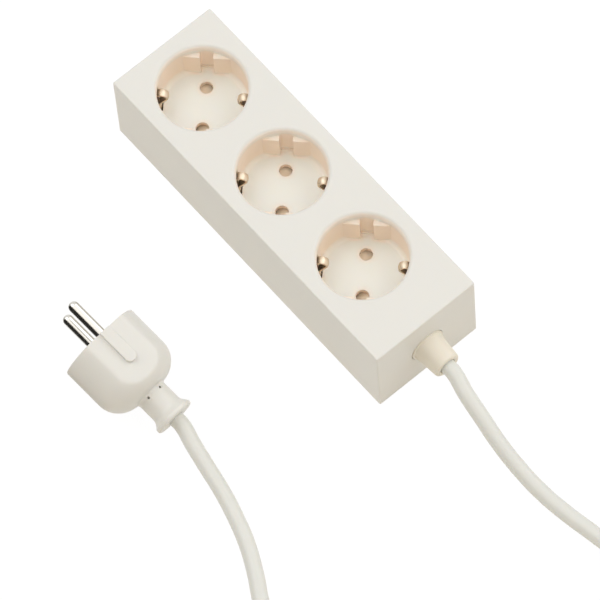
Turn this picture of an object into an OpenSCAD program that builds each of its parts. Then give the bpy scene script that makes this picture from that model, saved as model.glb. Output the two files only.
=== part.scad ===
// Three-way power strip with a coiled cord and a moulded two-pin plug.
// Millimetres. X runs along the strip towards the cord, Y across it, Z up from the table.

/* [Case] */
// Length of the case
case_l = 168.4; // [152:0.2:200]
// Width of the case
case_w = 52.6; // [50:0.1:62]
// Height of the case
case_h = 43.6; // [38.5:0.1:50]
// Thickness of the side walls
wall = 2.4; // [1.8:0.1:2.8]
// Thickness of the top wall
top_t = 3; // [2:0.1:3.6]
// Rounding of the upright and upper edges
edge_r = 0.7; // [0.4:0.1:1.7]
// Thickness of the base plate
base_t = 2.4; // [2:0.1:2.8]
// Gap round the base plate
base_gap = 0.2; // [0.1:0.05:0.3]

/* [Sockets] */
// Distance from the far end to the middle of the first socket
first_socket = 26.5; // [24:0.5:30]
// Distance from the middle of the last socket to the cord end
cord_room = 39.5; // [36:0.5:46]
// Inner diameter of a well
well_d = 38.2; // [37.4:0.1:38.6]
// Depth of a well
well_depth = 18.5; // [17:0.1:19.2]
// Rounding of the lip of a well
lip_r = 1.8; // [0.5:0.1:2.4]
// Thickness of the wall of a well
well_wall = 1.8; // [1.6:0.1:2.4]
// Thickness of the floor of a well
floor_t = 2.4; // [2:0.1:2.8]
// Rounding between the wall and the floor of a well
floor_r = 2.4; // [0.5:0.1:2.8]
// Angle of the line through the pin holes
pin_line = -45; // [-50:1:-40]
// Distance between the pin holes
pin_pitch = 19; // [18.6:0.1:19.4]
// Diameter of a pin hole
pin_hole_d = 5.6; // [5.2:0.1:6]
// Distance of the key pads from the middle of a well
pad_at = 16.3; // [16:0.1:16.8]
// Depth of the key pads below the top
pad_depth = 4.9; // [4:0.1:7]
// Gap between the two pads of a pair
pad_gap = 5.6; // [5.2:0.1:6.5]

/* [Contacts] */
// Thickness of the contact strip
strip_t = 0.8; // [0.6:0.05:1]
// Width of an earth clip
clip_w = 3.4; // [3:0.1:5]
// Distance of the clip's nose from the middle of a well
nose_at = 14.3; // [13.9:0.1:14.8]
// Length of a pin grip
grip_l = 8; // [6:0.5:9]
// Thickness of a shutter
shutter_t = 2.6; // [2:0.1:3]
// Wire diameter of a shutter spring
spring_wire = 0.6; // [0.4:0.05:0.7]

/* [Plug] */
// Diameter of the plug body
plug_d = 37.2; // [36.6:0.1:37.4]
// Distance of the plug's flats from its axis
plug_flat = 15.9; // [15.5:0.1:16.1]
// Length of the plug body
plug_l = 30.2; // [28:0.1:34]
// Width of a guide key
key_w = 5; // [4.4:0.1:5.1]
// Length of a guide key
key_l = 17.6; // [15:0.1:18]
// Height of a guide key above the flat
key_h = 1.8; // [1.2:0.1:2.2]
// Diameter of a plug pin
pin_d = 4.8; // [4.6:0.05:4.9]
// Length of a plug pin outside the plug
pin_l = 18.6; // [18:0.1:19.5]
// Length of the neck behind the body
neck_l = 14.6; // [13:0.1:18]
// Diameter of the neck
neck_d = 14; // [12.5:0.1:15]
// Diameter of the flange at the end of the neck
flange_d = 18.2; // [16.5:0.1:20]

/* [Cord] */
// Diameter of the cord
cord_d = 7; // [6.4:0.1:7.2]
// Height of the cord where it leaves the case
cord_z = 21.1; // [18:0.1:22]
// Length of the collar outside the case
collar_l = 13; // [11:0.5:20]
// Diameter of the collar at the case
collar_d = 14.4; // [13:0.1:15]
// Diameter of the collar at its end
collar_end_d = 12.2; // [11:0.1:13]
// Turns in the coil, which ends a quarter turn on
coil_turns = 4.25; // [4.25:1:6.25]
// Inner radius of the coil's middle line
coil_r = 31.5; // [30:0.5:36]
// Gap between neighbouring turns
coil_gap = 0.5; // [0.45:0.05:0.8]
// Width of a cord tie
tie_w = 6; // [4:0.5:8]
// Thickness of a cord tie
tie_t = 0.6; // [0.4:0.1:0.8]

/* [Hidden] */
$fn = 96;
bite = 0.5;
slack = 0.1;
fit_gap = 0.05;

// Sockets in plan
socket_pitch = (case_l - first_socket - cord_room) / 2;
socket_x = [for (i = [0:2]) -case_l / 2 + first_socket + i * socket_pitch];
well_r = well_d / 2;
insert_r = well_r + well_wall;
lip_land = 0.3;
lip_round = min(lip_r, top_t - lip_land);
rim_w = 1.1;
rim_t = 2;
pin_in = pin_pitch / 2;
pin_x = pin_in * cos(pin_line);
pin_y = -pin_in * sin(pin_line);
clip_slot_play = 0.7;
clip_slot_w = clip_w + 2 * clip_slot_play;
clip_slot_in = 0.9;
key_step = 0.7;
key_step_h = 2;

// Levels in the case, from the top down
seat_z = case_h - top_t;
floor_z = case_h - well_depth;
under_z = floor_z - floor_t;
shutter_play = 0.3;
shutter_top = under_z - shutter_play;
shutter_low = shutter_top - shutter_t;
spring_play = 0.2;
spring_turns = 2.5;
spring_gap = 0.45;
spring_step = spring_wire + spring_gap;
spring_h = spring_turns * spring_step + spring_wire;
spring_top = shutter_low - spring_play;
strap_top = spring_top - spring_h - spring_play;
bar_top = strap_top - strip_t;
bar_low = bar_top - strip_t;
grip_clear = 1.5;
grip_top = bar_low - grip_clear;

// Shutter and its pivot
boss_r = 3;
hub_r = 5.2;
ear_cover = 0.3;
ear_rim = 0.7;
ear_r = pin_in + pin_hole_d / 2 + ear_rim;
ear_half = asin((pin_hole_d / 2 + ear_cover) / pin_in);
ear_lip = 0.9;
stop_w = 1.2;
stop_l = 3;
stop_h = 1.6;
stop_gap = 0.25;
spring_clear = 0.5;
spring_r = boss_r + spring_clear + spring_wire / 2;
spring_leg = 1.6;

// Earth clip outline in the plane across the well
clip_in = 1;
clip_foot = well_r - clip_in;
clip_rise_h = 4;
clip_rise = floor_z + clip_rise_h;
clip_nose_drop = 3.2;
clip_nose_z = case_h - pad_depth - clip_nose_drop;
clip_nose_h = 2.4;
clip_nose_lean = 0.9;
clip_tip_out = 0.4;
clip_tip = well_r + clip_tip_out;
clip_tip_drop = 2.2;
clip_tip_z = case_h - pad_depth - clip_tip_drop;
slot_under_rim = 0.2;
clip_slot_top = seat_z - rim_t - slot_under_rim;

// Contact rails
bar_w = 5;
grip_half = pin_d / 2 + strip_t / 2;
grip_ease = 0.3;
grip_flare = 0.9;
grip_lead = 1.6;
grip_lean = 1.9;
rail_h = grip_top - base_t - grip_lead - grip_lean;
rail_lap = 0.24;
rail_y = pin_y + grip_half + grip_ease + strip_t - rail_lap;
rail_start = socket_x[0] - pin_x - grip_l;
rail_past = 16.6;
rail_end = socket_x[2] + rail_past;
bar_past = 19;
bar_end = socket_x[2] + bar_past;
guide_l = 6;
guide_w = 3.6;
guide_h = 4;
crimp_l = 5;
crimp_r = 1.9;
core_r = 1.3;
crimp_y = rail_y - strip_t / 2 - crimp_r - fit_gap;
crimp_z = base_t + crimp_r + fit_gap;
earth_crimp_z = bar_low - crimp_r - fit_gap;

// Screws
pivot_r = 1.4;
pivot_head_r = 2.6;
pivot_head_h = 1.8;
pivot_tip = 1.2;
case_screw_r = 1.4;
case_head_r = 3;
case_head_h = 1.2;
case_screw_l = 14;
case_screw_spare = 2;
post_r = 3.3;
post_in = 0.7;
post_far = 0.6;
post_near = 2.6;
screw_x = [
  -case_l / 2 + wall + post_r + post_far,
  (socket_x[1] + socket_x[2]) / 2,
  case_l / 2 - wall - post_r - post_near
];
screw_y = case_w / 2 - wall - post_r - post_in;
clamp_screw_r = 1.2;
clamp_head_r = 2.4;
clamp_head_h = 1.6;
clamp_screw_l = 9;
clamp_screw_spare = 1;

// Cord in the case
cord_r = cord_d / 2;
gland_flange_w = 2;
gland_flange_r = collar_d / 2 + gland_flange_w;
gland_flange_t = 2;
gland_ring_w = 0.7;
gland_ring_r = collar_d / 2 + gland_ring_w;
gland_ring_out = 0.5;
gland_hole_gap = 0.4;
gland_tip_r = 0.9;
end_x = case_l / 2;
collar_x = end_x + collar_l;
clamp_l = 6;
clamp_gap = 1.2;
clamp_x = end_x - wall - gland_flange_t - clamp_gap - clamp_l;
clamp_half = 12.5;
clamp_screw_y = 8.6;
clamp_bite = 0.3;
clamp_top_t = 2.4;
sheath_past = 1;
sheath_x = clamp_x - sheath_past;
core_in = 1.7;
core_up = 0.6;
core_down = 2;

// Plug in its own frame: X runs from the pin face towards the cord, Z through both flats
plug_r = plug_d / 2;
plug_edge = 0.5;
shoulder_step = 0.4;
shoulder_r = plug_r - neck_d / 2 - shoulder_step;
shoulder_x = plug_l - shoulder_r;
key_top = plug_flat + key_h;
core_rim = 2;
core_face_r = pin_in + pin_d / 2 + core_rim;
core_t = 8.9;
tail_step = 0.4;
tail_r = pin_d / 2 - tail_step;
pin_tail = 12;
chamber_room = 1.5;
chamber_r = pin_in + tail_r + chamber_room;
chamber_l = 22;
earth_at = 10;
earth_front = 1.2;
earth_bore_r = pin_d / 2 + slack;
earth_wall = 0.4;
earth_tube_r = earth_bore_r + earth_wall;
strap_w = 5;
strap_far = 11.5;
strap_near = 3;
strap_back = core_t + strip_t;
sleeve_step = 1.5;
sleeve_root_r = neck_d / 2 - sleeve_step;
sleeve_x = plug_l + neck_l;
plug_sheath_in = 1;
plug_wire_x = chamber_l - plug_sheath_in - fit_gap;
plug_wire_in = 1;
plug_earth_start = core_in + 0.3;
plug_earth_end = 5;
flare_l = 4.6;
flange_round = 1.4;

// Plug on the table, lying on the rear end of one key with its cord end low
plug_place = [-5.9, -100.2];
plug_heading = 5.3;
plug_pitch = 13.5;
plug_roll = -2;
plug_lift = key_l * sin(plug_pitch) + key_top * cos(plug_pitch) + fit_gap;
plug_origin = [plug_place.x, plug_place.y, plug_lift];
plug_axis = [
  cos(plug_heading) * cos(plug_pitch), sin(plug_heading) * cos(plug_pitch), -sin(plug_pitch)
];
plug_exit = plug_origin + sleeve_x * plug_axis;

// Coil beside the strip, wound in two layers
coil_middle = [217.7, -91.6];
coil_step = cord_d + coil_gap;
coil_half = coil_turns / 2;
tie_play = 0.4;
coil_low = cord_r + tie_t + tie_play;
coil_high = coil_low + coil_step;
tie_angles = [55, 190];
function tie_radii(a) = [
  for (k = [0:coil_turns])
    let (u = k + 1 - a / 360 - coil_half)
    if (u < coil_half) coil_r + coil_step * abs(u)
];
loop_rings = 24;

// Route of the cord from the collar to the coil, between its computed ends
strip_route = [
  [110.1, -1.9, 19.4], [122, -3.2, 15.9], [134, -4.2, 11.5], [145.9, -4.2, 7.3],
  [158.8, -3.5, 4.4], [172.7, -1.8, 3.5], [187.7, 0.8, 3.5], [202.7, 3, 3.5], [217.7, 3.4, 3.5],
  [231.7, 0.6, 3.5], [244.7, -6.6, 3.5], [255.2, -18.6, 3.6], [261.7, -33.6, 3.8],
  [264.7, -50.6, 4.1], [265.1, -67.6, 4.4]
];
// Route of the cord from the coil to the plug
plug_route = [
  [195.7, -139.6, 10.8], [180.7, -139.2, 7.8], [165.7, -137, 5.2], [150.7, -133, 3.9],
  [135.7, -127.4, 3.5], [120.7, -120.8, 3.5], [108.7, -114, 3.5], [96.7, -108.3, 3.5],
  [84.7, -104.3, 3.8], [72.7, -101.3, 4.7], [60.7, -99.3, 6.1], [49.7, -97.5, 8]
];

// Points of a bent strip of one thickness along a line of points
function unit(v) = v / norm(v);
function left(v) = [-v.y, v.x];
function side_at(p, i) =
  let (
    before = left(unit(p[i] - p[max(i - 1, 0)] + (i == 0 ? p[1] - p[0] : [0, 0]))),
    after = i == len(p) - 1 ? before : left(unit(p[i + 1] - p[i]))
  )
  (before + after) / (1 + before * after);
function strip_outline(p, t) = concat(
  [for (i = [0:len(p) - 1]) p[i] + side_at(p, i) * t / 2],
  [for (i = [len(p) - 1:-1:0]) p[i] - side_at(p, i) * t / 2]
);

// Smooth step from 0 to 1
function ease(s) = let (c = min(max(s, 0), 1)) c * c * (3 - 2 * c);
// Point on a curve that leaves a along -X and reaches d along -X
function sway(a, d, s) =
  let (reach = 0.55 * abs(a.x - d.x), b = a - [reach, 0, 0], c = d + [reach, 0, 0], r = 1 - s)
  r * r * r * a + 3 * r * r * s * b + 3 * r * s * s * c + s * s * s * d;
// Line of a core with a short straight piece at each end
core_stub = 1;
function core_line(from, to, steps) =
  let (stub = [core_stub, 0, 0])
  concat([from], [for (i = [0:steps]) sway(from - stub, to + stub, i / steps)], [to]);

// Tube of one diameter swept along points
function along(p, i) = unit(p[min(i + 1, len(p) - 1)] - p[max(i - 1, 0)]);
function ring(p, i, r, sides) =
  let (t = along(p, i), s = unit(cross(t, [0, 0, 1])), u = cross(s, t))
  [for (k = [0:sides - 1]) p[i] + r * (cos(360 * k / sides) * s + sin(360 * k / sides) * u)];
module tube(p, d, sides) {
  rings = len(p);
  points = [for (i = [0:rings - 1]) each ring(p, i, d / 2, sides)];
  walls = [
    for (i = [0:rings - 2], k = [0:sides - 1])
      let (a = i * sides + k, b = i * sides + (k + 1) % sides)
      each [[a, b + sides, b], [a, a + sides, b + sides]]
  ];
  first = [for (k = [1:sides - 2]) [0, k, k + 1]];
  last_ring = (rings - 1) * sides;
  last = [for (k = [1:sides - 2]) [last_ring, last_ring + k + 1, last_ring + k]];
  polyhedron(points, concat(walls, first, last), convexity = 8);
}
// Least distance between two stretches of one tube that are over half a loop apart
function self_gap(p, d, loop) = min([
  for (i = [0:len(p) - 1], j = [i + 1:len(p) - 1]) if (j - i > loop / 2) norm(p[i] - p[j])
]) - d;

// Coil line: inwards on the lower layer, outwards on the upper one
function coil_at(u) =
  let (r = coil_r + coil_step * abs(u), a = -360 * (u + coil_half))
  [
    coil_middle.x + r * cos(a), coil_middle.y + r * sin(a),
    coil_low + (coil_high - coil_low) * ease(2 * u + 0.5)
  ];
coil_rings = round(coil_turns * loop_rings);
coil_start = coil_at(-coil_half) + [0, cord_d, 0];
coil_end = coil_at(coil_half) - [cord_d, 0, 0];
coil_line = concat(
  [coil_start],
  [for (i = [0:coil_rings]) coil_at(-coil_half + coil_turns * i / coil_rings)],
  [coil_end]
);
collar_out = [collar_x, 0, cord_z];
strip_line = concat([collar_out, collar_out + [cord_r, 0, 0]], strip_route, [coil_start]);
plug_line = concat(
  [coil_end, coil_end - [cord_d, 0, 0]], plug_route, [plug_exit + cord_r * plug_axis, plug_exit]
);
echo(coil_least_gap = self_gap(coil_line, cord_d, loop_rings));

// Spring line round a shutter's boss, with a straight leg at each end
function spring_at(s) = [
  spring_r * cos(360 * s), spring_r * sin(360 * s),
  spring_top - spring_wire / 2 - spring_step * (spring_turns - s)
];
spring_rings = round(spring_turns * loop_rings);
function spring_way(s) = spring_leg * [-sin(360 * s), cos(360 * s), 0];
spring_line = concat(
  [spring_at(0) - spring_way(0)],
  [for (i = [0:spring_rings]) spring_at(spring_turns * i / spring_rings)],
  [spring_at(spring_turns) + spring_way(spring_turns)]
);
echo(spring_least_gap = self_gap(spring_line, spring_wire, loop_rings));

// Shared shapes
module rounded_plan(l, w, r) {
  square([l - 2 * r, w], center = true);
  square([l, w - 2 * r], center = true);
  for (x = [-1, 1], y = [-1, 1]) translate([x * (l / 2 - r), y * (w / 2 - r)]) circle(r);
}
module soft_block(l, w, h, r) {
  linear_extrude(h - r) rounded_plan(l, w, r);
  translate([0, 0, h - r]) {
    linear_extrude(r) square([l - 2 * r, w - 2 * r], center = true);
    for (y = [-1, 1])
      translate([0, y * (w / 2 - r), 0]) rotate([0, 90, 0]) cylinder(l - 2 * r, r, r, center = true);
    for (x = [-1, 1])
      translate([x * (l / 2 - r), 0, 0]) rotate([90, 0, 0]) cylinder(w - 2 * r, r, r, center = true);
    for (x = [-1, 1], y = [-1, 1]) translate([x * (l / 2 - r), y * (w / 2 - r), 0]) sphere(r);
  }
}
module along_x(x = 0) { translate([x, 0, 0]) rotate([0, 90, 0]) children(); }
module at_cord_height() { translate([0, 0, cord_z]) children(); }
module at_socket(i) { translate([socket_x[i], 0, 0]) children(); }
module at_sockets() { for (x = socket_x) translate([x, 0, 0]) children(); }
module at_pin_line() { rotate(pin_line) children(); }
module at_earth_line() { rotate(pin_line + 90) children(); }
module at_case_screws() { for (x = screw_x, y = [-1, 1]) translate([x, y * screw_y, 0]) children(); }
module at_plug() {
  translate(plug_origin) rotate([plug_roll, plug_pitch, plug_heading]) children();
}
module slab(x0, x1, w, z0, z1) { translate([x0, -w / 2, z0]) cube([x1 - x0, w, z1 - z0]); }
module screw(head_r, head_h, shank_r, shank_l) {
  cylinder(head_h, head_r, head_r);
  translate([0, 0, head_h - fit_gap]) cylinder(shank_l + fit_gap, shank_r, shank_r);
}

// Case
module lip_cut() {
  rotate_extrude() difference() {
    translate([0, seat_z - bite]) square([well_r + lip_round, top_t + 2 * bite]);
    translate([well_r, seat_z - 2 * bite]) square([lip_round + bite, top_t + 2 * bite - lip_round]);
    translate([well_r + lip_round, case_h - lip_round]) circle(lip_round);
  }
}
module top_case() {
  color("#ebe7dd") difference() {
    union() {
      difference() {
        soft_block(case_l, case_w, case_h, edge_r);
        translate([0, 0, -bite]) linear_extrude(seat_z + bite) {
          square([case_l - 2 * wall, case_w - 2 * wall], center = true);
        }
      }
      at_case_screws() translate([0, 0, base_t]) cylinder(seat_z - base_t + bite, post_r, post_r);
    }
    at_sockets() lip_cut();
    at_case_screws() translate([0, 0, base_t - bite])
      cylinder(case_screw_l + bite, case_screw_r + fit_gap, case_screw_r + fit_gap);
    at_cord_height() along_x(end_x - wall - bite)
      cylinder(wall + 2 * bite, gland_ring_r + gland_hole_gap, gland_ring_r + gland_hole_gap);
  }
}

module base_plate() {
  inner_l = case_l - 2 * (wall + base_gap);
  inner_w = case_w - 2 * (wall + base_gap);
  color("#dcd7cb") difference() {
    union() {
      translate([-inner_l / 2, -inner_w / 2, 0]) cube([inner_l, inner_w, base_t]);
      slab(clamp_x, clamp_x + clamp_l, 2 * clamp_half, base_t - bite, cord_z - clamp_bite);
      for (i = [0, 1], y = [-1, 1])
        translate([(socket_x[i] + socket_x[i + 1]) / 2, y * rail_y, base_t - bite])
          slab(-guide_l / 2, guide_l / 2, guide_w, 0, guide_h + bite);
    }
    at_case_screws() {
      translate([0, 0, -bite]) cylinder(case_head_h + bite, case_head_r + slack, case_head_r + slack);
      translate([0, 0, -bite]) cylinder(base_t + 2 * bite, case_screw_r + slack, case_screw_r + slack);
    }
    at_cord_height() along_x(clamp_x - bite)
      cylinder(clamp_l + 2 * bite, cord_r + fit_gap, cord_r + fit_gap);
    for (y = [-1, 1]) translate([clamp_x + clamp_l / 2, y * clamp_screw_y, cord_z - clamp_screw_l])
      cylinder(clamp_screw_l, clamp_screw_r + fit_gap, clamp_screw_r + fit_gap);
    for (y = [-1, 1]) translate([rail_start, y * rail_y - strip_t / 2 - fit_gap, base_t])
      cube([rail_end - rail_start, strip_t + 2 * fit_gap, guide_h + bite]);
  }
}

module base_screws() {
  color("#b9bbbd") at_case_screws() translate([0, 0, fit_gap])
    screw(case_head_r, case_head_h - 2 * fit_gap, case_screw_r, case_screw_l - case_screw_spare);
}

// Sockets
module cup() {
  rotate_extrude() {
    difference() {
      translate([0, under_z]) square([insert_r, seat_z - under_z]);
      translate([0, floor_z]) square([well_r, seat_z - floor_z + bite]);
    }
    translate([insert_r - bite, seat_z - rim_t]) square([rim_w + bite, rim_t]);
    difference() {
      translate([well_r - floor_r, floor_z - bite]) square([floor_r + bite, floor_r + bite]);
      translate([well_r - floor_r, floor_z + floor_r]) circle(floor_r);
    }
  }
}
module key_pads() {
  pad_low = floor_z - bite;
  pad_h = case_h - pad_depth - pad_low;
  intersection() {
    translate([0, 0, pad_low]) cylinder(pad_h, insert_r - bite, insert_r - bite);
    at_pin_line() for (a = [0, 180], y = [-1, 1]) rotate(a)
      translate([pad_at, y > 0 ? pad_gap / 2 : -pad_gap / 2 - well_r, pad_low])
        cube([well_r, well_r, pad_h]);
  }
  intersection() {
    translate([0, 0, pad_low]) cylinder(key_step_h + bite, insert_r - bite, insert_r - bite);
    at_pin_line() for (a = [0, 180]) rotate(a)
      slab(well_r - key_step, 2 * well_r, pad_gap + 2 * bite, pad_low, floor_z + key_step_h);
  }
}
module insert_feet() {
  foot_w = 10;
  foot_t = 3;
  for (y = [-1, 1]) translate([-foot_w / 2, y > 0 ? insert_r - foot_t - bite : bite - insert_r, base_t])
    cube([foot_w, foot_t, under_z - base_t + bite]);
}
module shutter_stops() {
  at_pin_line() for (a = [0, 180]) rotate(a - ear_half)
    translate([ear_r - stop_l, -stop_gap - stop_w, under_z - stop_h]) cube([stop_l, stop_w, stop_h + bite]);
}
module socket_insert() {
  color("#ebe5d8") difference() {
    union() {
      cup();
      key_pads();
      insert_feet();
      shutter_stops();
      translate([0, 0, strap_top]) cylinder(under_z - strap_top + bite, boss_r, boss_r);
    }
    at_pin_line() for (x = [-1, 1]) translate([x * pin_in, 0, under_z - bite])
      cylinder(floor_t + 2 * bite, pin_hole_d / 2, pin_hole_d / 2);
    at_earth_line() for (a = [0, 180]) rotate(a) {
      slab(well_r - bite, insert_r + bite, clip_slot_w, under_z - bite, clip_slot_top);
      slab(clip_foot - clip_slot_in, well_r, clip_slot_w, under_z - bite, floor_z + floor_r + bite);
    }
    translate([0, 0, strap_top - bite])
      cylinder(under_z - strap_top + bite, pivot_r + fit_gap, pivot_r + fit_gap);
  }
}
module socket_insert_1() { at_socket(0) socket_insert(); }
module socket_insert_2() { at_socket(1) socket_insert(); }
module socket_insert_3() { at_socket(2) socket_insert(); }

module shutter() {
  wedge = ear_r * tan(ear_half);
  slope = atan((shutter_t - ear_lip) / (2 * wedge));
  color("#e3d6c2") translate([0, 0, shutter_low]) difference() {
    union() {
      cylinder(shutter_t, hub_r, hub_r);
      intersection() {
        cylinder(shutter_t, ear_r, ear_r);
        at_pin_line() for (a = [0, 180]) rotate(a) linear_extrude(shutter_t)
          polygon([[0, 0], [ear_r + bite, -wedge], [ear_r + bite, wedge]]);
      }
    }
    translate([0, 0, -bite]) cylinder(shutter_t + 2 * bite, boss_r + fit_gap, boss_r + fit_gap);
    at_pin_line() for (a = [0, 180]) rotate(a) translate([hub_r + bite, wedge, shutter_t])
      rotate([slope, 0, 0]) translate([0, -4 * wedge, 0]) cube([ear_r, 4 * wedge, shutter_t]);
  }
}
module shutter_1() { at_socket(0) shutter(); }
module shutter_2() { at_socket(1) shutter(); }
module shutter_3() { at_socket(2) shutter(); }

module shutter_spring() { color("#c9c6bd") tube(spring_line, spring_wire, 6); }
module shutter_spring_1() { at_socket(0) shutter_spring(); }
module shutter_spring_2() { at_socket(1) shutter_spring(); }
module shutter_spring_3() { at_socket(2) shutter_spring(); }

// Contacts
module earth_clip() {
  half = [
    [clip_foot, bar_top + strip_t / 2], [clip_foot, clip_rise],
    [nose_at + clip_nose_lean, clip_nose_z - clip_nose_h], [nose_at, clip_nose_z], [clip_tip, clip_tip_z]
  ];
  line = concat([for (i = [len(half) - 1:-1:0]) [-half[i].x, half[i].y]], half);
  color("#d8b878") difference() {
    at_earth_line() rotate([90, 0, 0]) linear_extrude(clip_w, center = true)
      polygon(strip_outline(line, strip_t));
    translate([0, 0, bar_top - bite]) cylinder(strip_t + 2 * bite, pivot_r + slack, pivot_r + slack);
  }
}
module earth_clip_1() { at_socket(0) earth_clip(); }
module earth_clip_2() { at_socket(1) earth_clip(); }
module earth_clip_3() { at_socket(2) earth_clip(); }

module earth_bar() {
  color("#d2b06a") difference() {
    slab(socket_x[0] - bar_w, bar_end, bar_w, bar_low, bar_top);
    at_sockets() translate([0, 0, bar_low - bite])
      cylinder(strip_t + 2 * bite, pivot_r + slack, pivot_r + slack);
  }
}

module contact_rail(side) {
  foot = base_t + strip_t / 2;
  neck = grip_top - grip_lead;
  leg = grip_half + grip_ease;
  half = [
    [leg, foot], [leg, base_t + rail_h], [grip_half - slack, neck], [grip_half + grip_flare, grip_top]
  ];
  line = concat([for (i = [len(half) - 1:-1:0]) [-half[i].x, half[i].y]], half);
  color("#d9b566") {
    for (x = socket_x) translate([x - side * pin_x, side * pin_y, 0]) rotate([90, 0, 90])
      linear_extrude(grip_l, center = true) polygon(strip_outline(line, strip_t));
    translate([0, side * rail_y, base_t]) slab(rail_start, rail_end, strip_t, 0, rail_h);
  }
}
module line_bar() { contact_rail(1); }
module neutral_bar() { contact_rail(-1); }

module pivot_screws() {
  color("#b9bbbd") at_sockets() translate([0, 0, bar_low - pivot_head_h])
    screw(pivot_head_r, pivot_head_h, pivot_r, under_z - pivot_tip - bar_low);
}

// Wires in the case
module barrel(x, y, z) {
  translate([x, y, z]) along_x(-crimp_l) difference() {
    cylinder(crimp_l, crimp_r, crimp_r);
    translate([0, 0, -bite]) cylinder(crimp_l + 2 * bite, core_r + fit_gap, core_r + fit_gap);
  }
}
module wire_crimps() {
  color("#c8a860") {
    for (y = [-1, 1]) barrel(rail_end, y * crimp_y, crimp_z);
    barrel(bar_end, 0, earth_crimp_z);
  }
}
module core(from, to) {
  last = to - [crimp_l, 0, 0];
  tube(concat(core_line(from, to, 10), [last]), 2 * core_r, 8);
}
module line_wire() {
  color("#7a4a2c") core([sheath_x - fit_gap, core_in, cord_z + core_up], [rail_end, crimp_y, crimp_z]);
}
module neutral_wire() {
  color("#3f6fae") core([sheath_x - fit_gap, -core_in, cord_z + core_up], [rail_end, -crimp_y, crimp_z]);
}
module earth_wire() {
  color("#8fae3a") core([sheath_x - fit_gap, 0, cord_z - core_down], [bar_end, 0, earth_crimp_z]);
}

module cord_clamp() {
  clamp_top = cord_z + cord_r + clamp_top_t;
  color("#cfcabd") difference() {
    slab(clamp_x, clamp_x + clamp_l, 2 * clamp_half, cord_z + clamp_bite, clamp_top);
    at_cord_height() along_x(clamp_x - bite)
      cylinder(clamp_l + 2 * bite, cord_r + fit_gap, cord_r + fit_gap);
    for (y = [-1, 1]) translate([clamp_x + clamp_l / 2, y * clamp_screw_y, cord_z])
      cylinder(clamp_top, clamp_screw_r + slack, clamp_screw_r + slack);
  }
}
module clamp_screws() {
  clamp_top = cord_z + cord_r + clamp_top_t;
  clamp_shank_l = clamp_top - cord_z + clamp_screw_l - clamp_screw_spare;
  color("#b9bbbd") for (y = [-1, 1])
    translate([clamp_x + clamp_l / 2, y * clamp_screw_y, clamp_top + clamp_head_h]) rotate([180, 0, 0])
      screw(clamp_head_r, clamp_head_h, clamp_screw_r, clamp_shank_l);
}

// Collar and the captive end of the cord
module cord_gland() {
  root = end_x - wall;
  color("#e2dccf") at_cord_height() along_x() rotate_extrude() difference() {
    union() {
      translate([0, root - gland_flange_t]) square([gland_flange_r, gland_flange_t]);
      translate([0, root - bite]) square([gland_ring_r, wall + bite + gland_ring_out]);
      polygon([
        [0, end_x], [collar_d / 2, end_x], [collar_end_d / 2, collar_x - gland_tip_r],
        [collar_end_d / 2 - gland_tip_r, collar_x], [0, collar_x]
      ]);
    }
    translate([0, root - gland_flange_t - bite])
      square([cord_r + fit_gap, collar_x - root + gland_flange_t + 2 * bite]);
  }
}
module cord_sheath_end() {
  color("#e4e0d6") at_cord_height() along_x(sheath_x) cylinder(collar_x - sheath_x, cord_r, cord_r);
}

// Free cord
module cord_strip_side() { color("#e6e2d8") tube(strip_line, cord_d, 10); }
module cord_coil() { color("#e6e2d8") tube(coil_line, cord_d, 6); }
module cord_plug_side() { color("#e6e2d8") tube(plug_line, cord_d, 10); }
module cord_ties() {
  reach = 2 * (cord_r + tie_play);
  tall = coil_high - coil_low + reach;
  color("#cfccc4") for (a = tie_angles) {
    radii = tie_radii(a);
    wide = max(radii) - min(radii) + reach;
    translate([coil_middle.x, coil_middle.y, 0]) rotate([90, 0, a])
      translate([(max(radii) + min(radii)) / 2, tall / 2 + tie_t, 0])
        linear_extrude(tie_w, center = true) difference() {
          rounded_plan(wide + 2 * tie_t, tall + 2 * tie_t, cord_r + tie_t);
          rounded_plan(wide, tall, cord_r);
        }
  }
}

// Plug
module plug_outline() {
  difference() {
    union() {
      square([plug_r, shoulder_x]);
      translate([plug_r - shoulder_r, shoulder_x]) intersection() {
        circle(shoulder_r);
        square(shoulder_r);
      }
      square([plug_r - shoulder_r + fit_gap, plug_l]);
    }
    translate([plug_r - plug_edge, 0]) difference() {
      translate([0, -bite]) square([plug_edge + bite, plug_edge + bite]);
      translate([0, plug_edge]) circle(plug_edge);
    }
  }
}
module guide_key(side) {
  half = key_w / 2;
  low = plug_flat - bite;
  mirror([0, 0, side > 0 ? 0 : 1]) translate([0, 0, low]) {
    translate([0, -half, 0]) cube([key_l - half, key_w, key_top - low]);
    translate([key_l - half, 0, 0]) cylinder(key_top - low, half, half);
  }
}
module plug_body() {
  color("#e9e5da") at_plug() difference() {
    union() {
      intersection() {
        along_x() rotate_extrude() plug_outline();
        translate([-bite, -plug_d, -plug_flat]) cube([plug_l + 2 * bite, 2 * plug_d, 2 * plug_flat]);
      }
      guide_key(1);
      guide_key(-1);
    }
    along_x(-bite) cylinder(core_t + slack + bite, core_face_r + slack, core_face_r + slack);
    along_x(core_t) cylinder(chamber_l - core_t, chamber_r, chamber_r);
    along_x(chamber_l - bite)
      cylinder(plug_l - chamber_l + 2 * bite, sleeve_root_r + fit_gap, sleeve_root_r + fit_gap);
  }
}
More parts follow.
